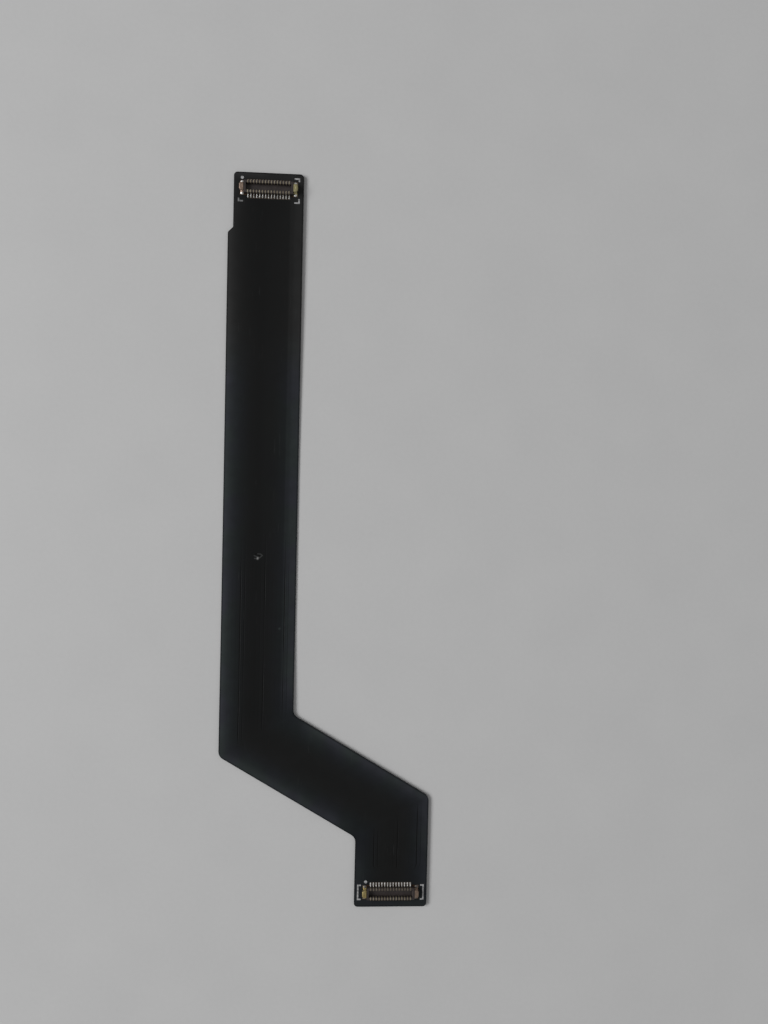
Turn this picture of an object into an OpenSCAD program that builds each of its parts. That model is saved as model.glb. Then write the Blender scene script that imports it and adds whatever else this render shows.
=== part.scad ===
// Flat flex cable with a 30-contact board-to-board plug soldered to each end.
//
// The cable is a printed flex circuit: a base film with etched copper on both
// sides, a black cover film over each copper layer, and a stiffener glued under
// each plug. It lies on a table with its plugs up. +Y runs from the foot end to
// the head end, +Z is up, and the origin is on the table, under the middle of
// the outline.

/* [Outline] */
// Overall length, from the foot edge to the head edge
cable_len = 101.5; // [99:0.5:112]
// Width of the strip, the same all along the run
strip_w = 10.2; // [10:0.1:11]
// Sideways step from the head run to the leg
leg_shift = 19.2; // [12:0.2:22]
// Fall of the slanting run below a level line, in degrees
slant_angle = 30.6; // [20:0.2:34]
// Distance along the centre line from the head edge to the first bend
first_bend = 77.4; // [60:0.2:79]
// Corner radius at the two bends
bend_r = 1.2; // [0.4:0.1:2]
// Corner radius at the head and foot edges
end_r = 0.5; // [0.3:0.1:0.8]
// How far the head is cut back on its left side
notch_w = 0.7; // [0.4:0.1:0.8]
// Length of that cut, from the head edge to its slanting shoulder
notch_len = 7.5; // [7:0.1:12]

/* [Laminate] */
// Thickness of each cover film where it lies on the copper
cover_t = 0.04; // [0.03:0.01:0.05]
// Thickness of each copper layer
copper_t = 0.02; // [0.01:0.01:0.03]
// Thickness of the base film
base_t = 0.04; // [0.02:0.01:0.06]
// Bonded rim where cover film meets base film, round the copper
rim_w = 0.25; // [0.15:0.05:0.3]
// Thickness of the stiffener under each plug
stiffener_t = 0.2; // [0.1:0.05:0.3]
// Length of each stiffener along the cable
stiffener_len = 6.6; // [5:0.1:6.8]
// Pitch of the copper lines in the strip
lane_pitch = 0.55; // [0.45:0.05:0.55]
// Width of a copper line in the strip
lane_w = 0.4; // [0.2:0.05:0.4]

/* [Plugs] */
// Contacts in each of a plug's two rows
row_count = 15; // [9:2:15]
// Pitch of the contacts
pitch = 0.4; // [0.35:0.05:0.4]
// Width of a contact
contact_w = 0.14; // [0.12:0.02:0.2]
// Thickness of the contact and end-fitting metal
metal_t = 0.06; // [0.06:0.01:0.1]
// Height of the contact crests over the solder pads
plug_h = 0.7; // [0.6:0.05:1]
// Distance from the head edge to the middle of the head plug
head_plug_in = 2.1; // [2:0.05:2.6]
// Distance from the foot edge to the middle of the foot plug
foot_plug_in = 2.05; // [2:0.05:2.6]

/* [Marks] */
// Line width of the printed marks
mark_line = 0.2; // [0.1:0.05:0.3]
// Thickness of the printed ink
ink_t = 0.012; // [0.008:0.002:0.02]
// Diameter of the dot beside contact 1
dot_d = 0.42; // [0.3:0.02:0.5]

/* [Hidden] */

$fn = 32;
eps = 0.01;

// Centre line of the strip: down the head run, along the slant, down the leg
head_y = cable_len / 2;
foot_y = -cable_len / 2;
run_x = -leg_shift / 2;
leg_x = leg_shift / 2;
bend1_y = head_y - first_bend;
bend2_y = bend1_y - leg_shift * tan(slant_angle);
corner_steps = 6;

// Heights of the layers over the underside of the strip
z_bottom_copper = cover_t;
z_base = z_bottom_copper + copper_t;
z_top_copper = z_base + base_t;
z_pad = z_top_copper + copper_t;
z_top = z_pad + cover_t;

// The stiffeners hold both ends up, and the strip sags to the table between them
belly_head_y = 8;
belly_foot_y = -10;
sag_head_y = head_y - stiffener_len - 0.4;
sag_foot_y = -27;
sag_steps = 8;

// Plug centres and their contact rows
head_plug = [run_x + notch_w / 2, head_y - head_plug_in];
foot_plug = [leg_x, foot_y + foot_plug_in];
row_half = (row_count - 1) / 2;

// Cross-section of a plug, measured out from its middle line
wall_in = 0.44;
wall_out = 0.87;
crest_r = 0.15;
outer_tail_out = 1.02;
inner_tail_out = 1.18;
inner_leg_z = 0.2;
rib_back = 0.02;
floor_t = 0.1;
cavity_end = row_half * pitch + 0.3;
block_end = cavity_end + 0.82;
block_half = 0.49;
saddle_half = block_half + metal_t;
fitting_in = cavity_end + 0.3;
fitting_tab_half = 0.35;
fitting_tab_z = 0.25;
fitting_tail_out = saddle_half + 0.3;
fitting_bend_r = 0.14;

// Solder on a tail: a bullet that covers the tail's corners, on a pad just wide enough
solder_r = norm([contact_w / 2, metal_t]) + 0.018;
solder_spread = 0.07;
heel_r = 0.2;

// Solder pads and the windows over them in the top cover film
pad_w = 2 * solder_r * (1 + solder_spread);
pad_in = 0.75;
outer_pad_out = 1.16;
inner_pad_out = 1.38;
fitting_pad_in = block_half - 0.02;
fitting_pad_out = saddle_half + 0.44;
window_in = fitting_pad_in - 0.02;
window_rim = 0.04;
window_end = block_end + 0.05;
fan_start = 1.55;
fan_end = 3.9;

// Vias, which join the pads of a plug's outer row to the bottom copper
via_v = 0.3;
via_d = 0.16;
via_bore = 0.1;
via_land = 0.3;
neck_w = 0.12;

// ---- Helpers -------------------------------------------------------------

function unit(v) = v / norm(v);
function left_of(v) = [-v.y, v.x];
function turned(v, a) = [v.x * cos(a) - v.y * sin(a), v.x * sin(a) + v.y * cos(a)];

// Where the line at distance o right of the centre line turns at a bend
function turn_y(bend_y, o) = bend_y + o * tan(45 - slant_angle / 2);

// Corner b of a path a-b-c, moved d inwards along both of its edges
function inset_corner(a, b, c, d) =
    let (n1 = left_of(unit(b - a)), n2 = left_of(unit(c - b)))
    b + d * (n1 + n2) / (1 + n1 * n2);

// Points of the arc that rounds corner b of a path a-b-c with radius r
function corner_arc(a, b, c, r) =
    let (
        e1 = unit(b - a),
        e2 = unit(c - b),
        turn = atan2(cross(e1, e2), e1 * e2),
        spoke = left_of(e1) * r * sign(turn),
        centre = b - e1 * r * tan(abs(turn) / 2) + spoke
    )
    [for (k = [0:corner_steps]) centre - turned(spoke, turn * k / corner_steps)];

// Corners of the outline, counter-clockwise from the head's left end, as [x, y, radius]
half_w = strip_w / 2;
outline_corners = [
    [run_x - half_w + notch_w, head_y, end_r],
    [run_x - half_w + notch_w, head_y - notch_len, 0.3],
    [run_x - half_w, head_y - notch_len - notch_w, 0.3],
    [run_x - half_w, turn_y(bend1_y, -half_w), bend_r],
    [leg_x - half_w, turn_y(bend2_y, -half_w), bend_r],
    [leg_x - half_w, foot_y, end_r],
    [leg_x + half_w, foot_y, end_r],
    [leg_x + half_w, turn_y(bend2_y, half_w), bend_r],
    [run_x + half_w, turn_y(bend1_y, half_w), bend_r],
    [run_x + half_w, head_y, end_r]
];

function corner_xy(i) =
    let (c = outline_corners[(i + len(outline_corners)) % len(outline_corners)])
    [c.x, c.y];

// The die-cut outline of the cable, inset by d
module outline(d = 0) {
    last = len(outline_corners) - 1;
    inset = [for (i = [0:last]) inset_corner(corner_xy(i - 1), corner_xy(i), corner_xy(i + 1), d)];
    polygon([
        for (i = [0:last])
        let (
            a = inset[(i + last) % (last + 1)],
            b = inset[i],
            c = inset[(i + 1) % (last + 1)],
            side = sign(cross(b - a, c - b)),
            r = max(0.05, outline_corners[i][2] - side * d)
        )
        each corner_arc(a, b, c, r)
    ]);
}

// Height of the strip's underside over the table at y
function ease(f) = (1 - cos(180 * min(1, max(0, f)))) / 2;
function lie(y) =
    y > 0
    ? stiffener_t * ease((y - belly_head_y) / (sag_head_y - belly_head_y))
    : stiffener_t * ease((belly_foot_y - y) / (belly_foot_y - sag_foot_y));

stations = concat(
    [foot_y - 1],
    [for (k = [0:sag_steps]) sag_foot_y + (belly_foot_y - sag_foot_y) * k / sag_steps],
    [for (k = [0:sag_steps]) belly_head_y + (sag_head_y - belly_head_y) * k / sag_steps],
    [head_y + 1]
);

// The band between heights z0 and z1 over the strip's underside, wider than the cable
module band(z0, z1) {
    last = len(stations) - 1;
    reach = leg_shift + 2 * strip_w;
    translate([-reach / 2, 0, 0])
        rotate([90, 0, 90])
            linear_extrude(reach)
                polygon(concat(
                    [for (k = [0:last]) [stations[k], lie(stations[k]) + z0]],
                    [for (k = [last:-1:0]) [stations[k], lie(stations[k]) + z1]]
                ));
}

// A layer of the laminate between heights z0 and z1, cut to the 2-D shape given
module layer(z0, z1) {
    intersection() {
        band(z0, z1);
        translate([0, 0, -1])
            linear_extrude(stiffener_t + z_top + 2)
                children();
    }
}

// Places a plug's parts with their middle at its centre and height 0 on its pads.
// The foot plug is turned round, so that its inner row faces the strip as well.
module at_head() translate([head_plug.x, head_plug.y, stiffener_t + z_pad]) children();
module at_foot() translate([foot_plug.x, foot_plug.y, stiffener_t + z_pad]) rotate([0, 0, 180]) children();

// A profile drawn in (y, z), extruded along x from x0 to x1
module along_x(x0, x1) translate([x0, 0, 0]) rotate([90, 0, 90]) linear_extrude(x1 - x0) children();

// A bar from y0 to y1 and from 0 up to top, with both its top corners rounded
module arch(y0, y1, top, r) {
    translate([y0, 0]) square([y1 - y0, top - r]);
    translate([y0 + r, 0]) square([y1 - y0 - 2 * r, top]);
    translate([y0 + r, top - r]) circle(r);
    translate([y1 - r, top - r]) circle(r);
}

// A copy for each contact position along a plug
module at_positions() for (i = [-row_half:row_half]) translate([i * pitch, 0]) children();

// ---- Laminate ------------------------------------------------------------

// One edge of copper line i: pad by pad at the plugs, lane by lane in the strip.
// side is -1 for its left edge, 1 for its right edge; head_end and foot_end are
// how far past each plug's middle the line runs, away from the strip.
function line_edge(i, side, head_end, foot_end) =
    let (
        o = i * lane_pitch + side * lane_w / 2,
        p = i * pitch + side * pad_w / 2
    )
    [
        [head_plug.x + p, head_plug.y + head_end],
        [head_plug.x + p, head_plug.y - fan_start],
        [run_x + o, head_plug.y - fan_end],
        [run_x + o, turn_y(bend1_y, o)],
        [leg_x + o, turn_y(bend2_y, o)],
        [leg_x + o, foot_plug.y + fan_end],
        [foot_plug.x + p, foot_plug.y + fan_start],
        [foot_plug.x + p, foot_plug.y - foot_end]
    ];

function reversed(list) = [for (i = [len(list) - 1:-1:0]) list[i]];

module copper_lines(reach) {
    for (i = [-row_half:row_half])
        polygon(concat(line_edge(i, -1, reach, reach), reversed(line_edge(i, 1, reach, reach))));
}

// Pads that no line on this layer reaches: a plug's outer row, each with a neck
// to the land of its via, and the pads under its end fittings
module loose_pads() {
    at_positions() {
        translate([-pad_w / 2, pad_in]) square([pad_w, outer_pad_out - pad_in]);
        translate([-neck_w / 2, via_v + via_land / 4]) square([neck_w, pad_in - via_v]);
        translate([0, via_v])
            difference() {
                circle(d = via_land);
                circle(d = via_bore);
            }
    }
    for (end = [-1, 1], side = [-1, 1])
        translate([end * (fitting_in + block_end) / 2, side * (fitting_pad_in + fitting_pad_out) / 2])
            square([block_end - fitting_in + 0.06, fitting_pad_out - fitting_pad_in], center = true);
}

// 2-D places of the two plugs, turned as the plugs are
module flat_at_plugs() {
    translate(head_plug) children();
    translate(foot_plug) rotate(180) children();
}

// The openings in the top cover film over both rows of pads
module windows() {
    window(outer_pad_out);
    mirror([0, 1]) window(inner_pad_out);
}

// An opening over one row's pads, shallower at its ends, where the fittings' pads are
module window(pad_out) {
    row_end = row_half * pitch + pad_w / 2 + window_rim;
    translate([-row_end, window_in]) square([2 * row_end, pad_out + window_rim - window_in]);
    translate([-window_end, window_in])
        square([2 * window_end, fitting_pad_out + window_rim - window_in]);
}

module bottom_cover_film() {
    color("#17181a")
        difference() {
            layer(0, z_base) outline();
            layer(z_bottom_copper, z_base + eps) outline(rim_w);
        }
}

module bottom_copper() {
    color("#b87333")
        layer(z_bottom_copper, z_base) {
            copper_lines(via_v);
            flat_at_plugs() at_positions() translate([0, via_v]) circle(d = via_land);
        }
}

module base_film() {
    color("#3a2416")
        layer(z_base, z_top_copper)
            difference() {
                outline();
                flat_at_plugs() at_positions() translate([0, via_v]) circle(d = via_d);
            }
}

module top_copper() {
    color("#c98f4a")
        layer(z_top_copper, z_pad) {
            copper_lines(-pad_in);
            flat_at_plugs() loose_pads();
        }
}

// Plating that lines the via holes through the base film
module via_barrels() {
    color("#c07a3a")
        at_positions()
            translate([0, via_v, z_base - z_pad])
                linear_extrude(base_t)
                    difference() {
                        circle(d = via_d);
                        circle(d = via_bore);
                    }
}

module top_cover_film() {
    color("#1c1d1f")
        difference() {
            layer(z_top_copper, z_top) outline();
            layer(z_top_copper - eps, z_pad) outline(rim_w);
            layer(z_top_copper - eps, z_top + eps) flat_at_plugs() windows();
        }
}

// The stiffener is cut with the cable, so it has the cable's outline at its end
module stiffener(y0, y1) {
    color("#202223")
        linear_extrude(stiffener_t)
            intersection() {
                outline();
                translate([-leg_shift, y0]) square([2 * leg_shift, y1 - y0]);
            }
}

module head_stiffener() stiffener(head_y - stiffener_len, head_y + 1);
module foot_stiffener() stiffener(foot_y - 1, foot_y + stiffener_len);

// ---- Plug ----------------------------------------------------------------

// The moulded body: two walls that carry the contacts, a floor between them, and
// a block at each end. Ribs stand between the contacts, just below their faces.
module housing() {
    z0 = cover_t;
    core_in = wall_in + metal_t;
    core_out = wall_out - metal_t;
    core_h = plug_h - metal_t;
    rib_w = pitch - contact_w;
    end_rib_w = cavity_end - row_half * pitch - contact_w / 2;
    color("#2a2220")
        intersection() {
            union() {
                for (side = [-1, 1]) mirror([0, side < 0 ? 1 : 0, 0]) {
                    along_x(-cavity_end, cavity_end)
                        arch(core_in, core_out, core_h, crest_r - metal_t);
                    for (i = [-row_half:row_half - 1])
                        rib((i + 0.5) * pitch - rib_w / 2, rib_w);
                    rib(-cavity_end, end_rib_w);
                    rib(cavity_end - end_rib_w, end_rib_w);
                }
                translate([-cavity_end, -core_in - eps, z0])
                    cube([2 * cavity_end, 2 * (core_in + eps), floor_t]);
                for (side = [0, 1]) mirror([side, 0, 0]) {
                    end_wall();
                    end_block(core_h);
                }
            }
            translate([-block_end - 1, -2, z0]) cube([2 * block_end + 2, 4, plug_h]);
        }
}

module rib(x0, w) {
    along_x(x0, x0 + w)
        arch(wall_in + rib_back, wall_out - rib_back, plug_h - rib_back, crest_r - rib_back);
}

// The wall that closes the cavity at the plug's right end
module end_wall() {
    half = wall_out - rib_back;
    along_x(cavity_end - eps, fitting_in - 0.04) arch(-half, half, plug_h - rib_back, crest_r - rib_back);
}

// The block at the plug's right end, which its fitting wraps over
module end_block(h) {
    r = fitting_bend_r - metal_t;
    intersection() {
        along_x(cavity_end, block_end) arch(-block_half, block_half, h, r);
        translate([0, block_half, 0])
            rotate([90, 0, 0])
                linear_extrude(2 * block_half)
                    arch(cavity_end - 1, block_end, h, r);
    }
}

// One contact: its tail on the pad, up the wall, over it and down inside
module contact_profile(tail_out) {
    difference() {
        arch(wall_in, wall_out, plug_h, crest_r);
        translate([0, -1]) arch(wall_in + metal_t, wall_out - metal_t, plug_h - metal_t + 1, crest_r - metal_t);
        translate([0, -1]) square([wall_in + metal_t + eps, 1 + inner_leg_z]);
    }
    translate([wall_out - metal_t, 0]) square([tail_out - wall_out + metal_t, metal_t]);
}

module contacts(tail_out) {
    color("#c9a45c")
        at_positions() along_x(-contact_w / 2, contact_w / 2) contact_profile(tail_out);
}

// The end fitting on the plug's right end: a saddle over the block, soldered on
// both sides, with a tab bent down over the block's end face
module fitting() {
    color("#c9a24e")
        difference() {
            fitting_metal();
            translate([(fitting_in + block_end) / 2, 0, plug_h])
                coined_slot();
        }
}

module fitting_metal() {
    r_out = fitting_bend_r;
    r_in = fitting_bend_r - metal_t;
    along_x(fitting_in, block_end - r_in) saddle_profile();
    translate([0, fitting_tab_half, 0])
        rotate([90, 0, 0])
            linear_extrude(2 * fitting_tab_half)
                difference() {
                    arch(fitting_in, block_end + metal_t, plug_h, r_out);
                    translate([0, -1]) arch(fitting_in - 1, block_end, plug_h - metal_t + 1, r_in);
                    translate([0, -1]) square([2 * block_end, 1 + fitting_tab_z]);
                    translate([0, -1]) square([fitting_in + r_out, 2 * plug_h + 1]);
                }
}

module saddle_profile() {
    difference() {
        arch(-saddle_half, saddle_half, plug_h, fitting_bend_r);
        translate([0, -1]) arch(-block_half, block_half, plug_h - metal_t + 1, fitting_bend_r - metal_t);
    }
    for (side = [0, 1]) mirror([side, 0])
        translate([block_half, 0]) square([fitting_tail_out - block_half, metal_t]);
}

// A shallow round-ended slot that is pressed into the top of the fitting
module coined_slot() {
    slot_r = 0.13;
    slot_half = 0.28;
    depth = 0.02;
    translate([0, 0, -depth])
        linear_extrude(depth + eps) {
            square([2 * slot_r, 2 * slot_half], center = true);
            for (side = [-1, 1]) translate([0, side * slot_half]) circle(slot_r);
        }
}

// Solder over the tail that ends at tail_out, of radius r, on a pad that ends at pad_out
module tail_solder(r, tail_out, pad_out) {
    nose = pad_out - r;
    difference() {
        union() {
            translate([0, wall_out, 0])
                rotate([-90, 0, 0])
                    rotate_extrude()
                        intersection() {
                            union() {
                                square([r, nose - wall_out]);
                                translate([0, nose - wall_out]) circle(r);
                            }
                            square([r + 1, nose]);
                        }
            along_x(-contact_w / 2, contact_w / 2)
                translate([wall_out, 0])
                    difference() {
                        square([heel_r, metal_t + heel_r]);
                        translate([heel_r, metal_t + heel_r]) circle(heel_r);
                    }
        }
        translate([-1, 0, -1]) cube([2, 2, 1]);
        along_x(-contact_w / 2, contact_w / 2)
            translate([0, -eps]) square([tail_out, metal_t + eps]);
    }
}

// Solder over the outer tail of the fitting on the right end: a mound over the
// tail, and a fillet that rises against the fitting's side
module fitting_solder() {
    mound = [saddle_half + 0.18, -0.08];
    mound_r = 0.22;
    along_x(fitting_in - 0.03, block_end - fitting_bend_r + metal_t + 0.03)
        difference() {
            union() {
                translate(mound) circle(mound_r);
                translate([saddle_half, 0])
                    difference() {
                        square([heel_r, metal_t + heel_r]);
                        translate([heel_r, metal_t + heel_r]) circle(heel_r);
                    }
            }
            translate([saddle_half - 1, -1]) square([1, 2]);
            translate([saddle_half - 1, -1]) square([3, 1]);
            translate([saddle_half - eps, -eps])
                square([fitting_tail_out - saddle_half + eps, metal_t + eps]);
        }
}

// Solder amounts differ a little from tail to tail, the same way on every build
function solder_size(i, seed) = solder_r * (1 + solder_spread * sin(97 * i + seed));

module solder_row(seed, tail_out, pad_out) {
    color("#c8cacc") {
        for (i = [-row_half:row_half])
            translate([i * pitch, 0, 0]) tail_solder(solder_size(i, seed), tail_out, pad_out);
        for (side = [0, 1]) mirror([side, 0, 0]) fitting_solder();
    }
}

// ---- Printed marks -------------------------------------------------------

// An L of ink with its corner at the origin and its arms along +x and +y
module ink_corner(arm_x, arm_y) {
    square([arm_x, mark_line]);
    square([mark_line, arm_y]);
}

module ink_at(plug) {
    color("#d9dadb")
        translate([plug.x, plug.y, stiffener_t + z_top])
            linear_extrude(ink_t)
                children();
}

// Three corners of a frame round the head plug, and the dot of contact 1
module head_marks() {
    frame_x = block_end + 0.31;
    frame_low = -1.92;
    ink_at(head_plug) {
        translate([0.05 - frame_x, frame_low]) ink_corner(0.7, 0.5);
        translate([frame_x, frame_low]) mirror([1, 0]) ink_corner(0.75, 0.65);
        translate([frame_x, 1.54]) rotate(180) ink_corner(0.75, 0.5);
        translate([0.3 - block_end, 1.36]) circle(d = dot_d);
    }
}

// A bracket at each end of the foot plug, and the dot of contact 1
module foot_marks() {
    frame_x = block_end + 0.78;
    frame_y = 1.1;
    ink_at(foot_plug) {
        for (side = [0, 1]) mirror([side, 0]) {
            translate([-frame_x, -frame_y]) ink_corner(0.52, 2 * frame_y);
            translate([-frame_x, frame_y]) mirror([0, 1]) ink_corner(0.52, frame_y);
        }
        translate([0.4 - block_end, 1.47]) circle(d = dot_d);
    }
}

// ---- Nodes ---------------------------------------------------------------

// The outer row of a plug is the one nearer to the cable's end
module inner_side() rotate([0, 0, 180]) children();
module left_end() mirror([1, 0, 0]) children();

module head_vias() at_head() via_barrels();
module foot_vias() at_foot() via_barrels();

module head_housing() at_head() housing();
module head_outer_contacts() at_head() contacts(outer_tail_out);
module head_inner_contacts() at_head() inner_side() contacts(inner_tail_out);
module head_left_fitting() at_head() left_end() fitting();
module head_right_fitting() at_head() fitting();
module head_outer_solder() at_head() solder_row(0, outer_tail_out, outer_pad_out);
module head_inner_solder() at_head() inner_side() solder_row(40, inner_tail_out, inner_pad_out);

module foot_housing() at_foot() housing();
module foot_outer_contacts() at_foot() contacts(outer_tail_out);
module foot_inner_contacts() at_foot() inner_side() contacts(inner_tail_out);
module foot_left_fitting() at_foot() fitting();
module foot_right_fitting() at_foot() left_end() fitting();
module foot_outer_solder() at_foot() solder_row(80, outer_tail_out, outer_pad_out);
module foot_inner_solder() at_foot() inner_side() solder_row(120, inner_tail_out, inner_pad_out);

bottom_cover_film();
bottom_copper();
base_film();
top_copper();
top_cover_film();
head_vias();
foot_vias();
head_stiffener();
foot_stiffener();
head_housing();
head_outer_contacts();
head_inner_contacts();
head_left_fitting();
head_right_fitting();
head_outer_solder();
head_inner_solder();
head_marks();
foot_housing();
foot_outer_contacts();
foot_inner_contacts();
foot_left_fitting();
foot_right_fitting();
foot_outer_solder();
foot_inner_solder();
foot_marks();
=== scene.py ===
# %% [markdown]
# # A flat flex cable with a fine plug on each end
#
# The real object is a printed circuit on thin plastic film. It lies on a table
# with its two plugs facing up. The frame that is loaded here already holds
# every solid piece at its true size and place. Blender adds the finishes, and
# replaces the smallest metal pieces by finer ones, because those catch the light.

# %% Load the frame
import math

import bpy
from mathutils import Matrix, Vector


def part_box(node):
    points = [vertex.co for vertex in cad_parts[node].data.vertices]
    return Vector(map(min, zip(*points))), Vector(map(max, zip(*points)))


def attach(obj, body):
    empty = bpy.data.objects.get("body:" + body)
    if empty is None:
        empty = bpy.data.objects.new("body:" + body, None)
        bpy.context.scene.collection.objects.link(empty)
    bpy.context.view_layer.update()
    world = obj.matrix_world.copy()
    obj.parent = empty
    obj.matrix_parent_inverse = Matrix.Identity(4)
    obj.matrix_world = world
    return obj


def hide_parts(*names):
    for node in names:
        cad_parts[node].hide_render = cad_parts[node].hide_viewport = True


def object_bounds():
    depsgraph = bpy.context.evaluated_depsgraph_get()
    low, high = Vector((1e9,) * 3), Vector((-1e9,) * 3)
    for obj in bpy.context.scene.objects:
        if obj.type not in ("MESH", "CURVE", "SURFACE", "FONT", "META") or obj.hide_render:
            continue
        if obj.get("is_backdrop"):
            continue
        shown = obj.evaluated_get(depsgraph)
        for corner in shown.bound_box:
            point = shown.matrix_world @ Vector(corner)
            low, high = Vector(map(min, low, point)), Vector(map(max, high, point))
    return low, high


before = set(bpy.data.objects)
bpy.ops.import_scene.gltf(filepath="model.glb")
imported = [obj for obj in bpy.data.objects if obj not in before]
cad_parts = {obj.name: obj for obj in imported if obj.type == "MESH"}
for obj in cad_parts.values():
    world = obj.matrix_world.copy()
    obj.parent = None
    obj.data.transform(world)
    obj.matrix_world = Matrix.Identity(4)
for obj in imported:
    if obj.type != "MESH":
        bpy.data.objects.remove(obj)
cad_low, cad_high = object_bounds()
MM = 0.001
print("frame holds", len(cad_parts), "pieces")
print("it measures", [round(side / MM, 2) for side in cad_high - cad_low], "mm")

# %% [markdown]
# ## Key sizes
#
# Everything later is placed from a few sizes. The outline's box comes from the
# frame. The strip's width, its first bend and the slant of its middle run are
# the driving sizes of the cable, and the rest follows from them.

# %% Key sizes
film_low, film_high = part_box("top_cover_film")
head_y, foot_y = film_high.y, film_low.y
strip_width = 10.2 * MM
run_x = film_low.x + strip_width / 2
leg_x = film_high.x - strip_width / 2
slant = math.radians(30.6)
bend1_y = head_y - 77.4 * MM
bend2_y = bend1_y - (leg_x - run_x) * math.tan(slant)
print("head run at x", round(run_x / MM, 2), "leg at x", round(leg_x / MM, 2), "mm")
print("bends at y", round(bend1_y / MM, 2), "and", round(bend2_y / MM, 2), "mm")

# %% [markdown]
# ## Camera
#
# The cable is looked at from above, a hand's width away, through a short lens.
# So close a view makes the two ends lean outwards a little, and the distance
# matters as much as the direction. The camera turns about Z, then Y, then X.

# %% Camera
sensor, focal_length = 36, 27.04
eye = (1.32 * MM, 7.03 * MM, 107.15 * MM)
tilt_x, sway_y, turn_z = -1.21, -3.31, 1.22
nearest, farthest = 1 * MM, 10

camera = bpy.data.objects.new("camera", bpy.data.cameras.new("camera"))
bpy.context.scene.collection.objects.link(camera)
camera.data.sensor_width = sensor
camera.data.lens = focal_length
camera.location = eye
camera.rotation_mode = "ZYX"
camera.rotation_euler = [math.radians(angle) for angle in (tilt_x, sway_y, turn_z)]
camera.data.clip_start, camera.data.clip_end = nearest, farthest
bpy.context.scene.camera = camera
print("camera is", round(camera.location.z / MM, 1), "mm above the table")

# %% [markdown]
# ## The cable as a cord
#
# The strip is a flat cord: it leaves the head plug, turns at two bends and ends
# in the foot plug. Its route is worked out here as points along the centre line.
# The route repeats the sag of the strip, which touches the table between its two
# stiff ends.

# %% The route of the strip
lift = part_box("head_stiffener")[1].z
head_rise = (8 * MM, head_y - 7 * MM)
foot_rise = (-10 * MM, -27 * MM)
longest_step = 4 * MM


def ease(share):
    return (1 - math.cos(math.pi * min(1, max(0, share)))) / 2


def lie(y):
    lying, raised = head_rise if y > 0 else foot_rise
    return lift * ease((y - lying) / (raised - lying))


corners = [(run_x, head_y), (run_x, bend1_y), (leg_x, bend2_y), (leg_x, foot_y)]
route = []
for (x0, y0), (x1, y1) in zip(corners, corners[1:]):
    steps = math.ceil(math.dist((x0, y0), (x1, y1)) / longest_step)
    for step in range(steps):
        share = step / steps
        route.append((x0 + (x1 - x0) * share, y0 + (y1 - y0) * share))
route.append(corners[-1])
middle = (film_high.z - lift) / 2
route = [(x, y, lie(y) + middle) for x, y in route]

# %% [markdown]
# ## Table and light
#
# The table is a large pale sheet. One broad lamp stands low on the left, so the
# thin strip throws a narrow soft shadow to its right. The rest of the light
# comes evenly from the world, which the camera and the metal see as pale grey.

# %% Table
table_side = 4
bpy.ops.object.select_all(action="DESELECT")
bpy.ops.mesh.primitive_plane_add(size=table_side)
table = bpy.context.object
table.name = "table"
table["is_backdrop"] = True
print("the table is", table_side, "m square")

# %% Lamp and world
lamp_place, lamp_size, lamp_watts = (-1.05, 0.1, 0.68), (0.9, 0.5), 17
world_grey = 0.39

lamp = bpy.data.objects.new("lamp", bpy.data.lights.new("lamp", "AREA"))
bpy.context.scene.collection.objects.link(lamp)
lamp.data.shape = "RECTANGLE"
lamp.data.size, lamp.data.size_y = lamp_size
lamp.data.energy = lamp_watts
lamp.location = lamp_place
lamp.rotation_euler = (-lamp.location).to_track_quat("-Z", "Y").to_euler()

world = bpy.data.worlds.new("studio")
bpy.context.scene.world = world
world.use_nodes = True
sky = world.node_tree.nodes["Background"]
sky.inputs["Color"].default_value = (world_grey, world_grey, world_grey, 1)
bpy.context.scene.view_settings.view_transform = "Standard"
print("the lamp shines from", round(lamp.location.length, 2), "m away")

# %% [markdown]
# ## Sizes of a plug
#
# Both plugs are the same moulding with the same metal, so their pieces are
# modelled once, in a plug's own frame: its middle at the origin, height zero on
# the solder pads, and the outer row of contacts on the +Y side. Each plug's
# matrix then places the copies. The foot plug is turned half a turn.

# %% Plug sizes
pad_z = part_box("top_copper")[1].z
plug_places = {}
for end, turn in (("head", 0), ("foot", math.pi)):
    low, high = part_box(f"{end}_housing")
    centre = (low + high) / 2
    centre.z = pad_z
    plug_places[end] = Matrix.Translation(centre) @ Matrix.Rotation(turn, 4, "Z")

row_half = 7
pitch = 0.4 * MM
contact_width = 0.14 * MM
metal = 0.06 * MM
crest_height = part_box("head_outer_contacts")[1].z - pad_z
wall_in = 0.44 * MM
wall_out = 0.87 * MM
crest_radius = 0.15 * MM
leg_height = 0.2 * MM
tail_ends = {"outer": 1.02 * MM, "inner": 1.18 * MM}
pad_ends = {"outer": 1.16 * MM, "inner": 1.38 * MM}
print("contacts stand", round(crest_height / MM, 2), "mm over the pads")

# %% [markdown]
# ## Bending sheet metal
#
# Every metal piece of a plug starts as a flat strip that a press tool bends. It
# can be made the same way here: the strip's cut end is a small plane, an
# extrusion pushes it straight on, and a spin carries it round a bend. An object
# that is placed, turned or scaled is settled: its mesh takes the place over.

# %% Strip, run and bend
quarter = math.pi / 2
bend_steps = 6


def settle():
    bpy.ops.object.transform_apply(location=True, rotation=True, scale=True)


def metal_blank(name, width, y, x=0.0):
    bpy.ops.object.select_all(action="DESELECT")
    bpy.ops.mesh.primitive_plane_add(
        size=1, location=(x, y, metal / 2), rotation=(quarter, 0, 0))
    blank = bpy.context.object
    blank.name = name
    blank.scale = (width, metal, 1)
    settle()
    bpy.ops.object.mode_set(mode="EDIT")
    bpy.ops.mesh.select_all(action="SELECT")
    return blank


def run_on(y, z):
    bpy.ops.mesh.extrude_region_move(TRANSFORM_OT_translate={"value": (0, y, z)})


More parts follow.
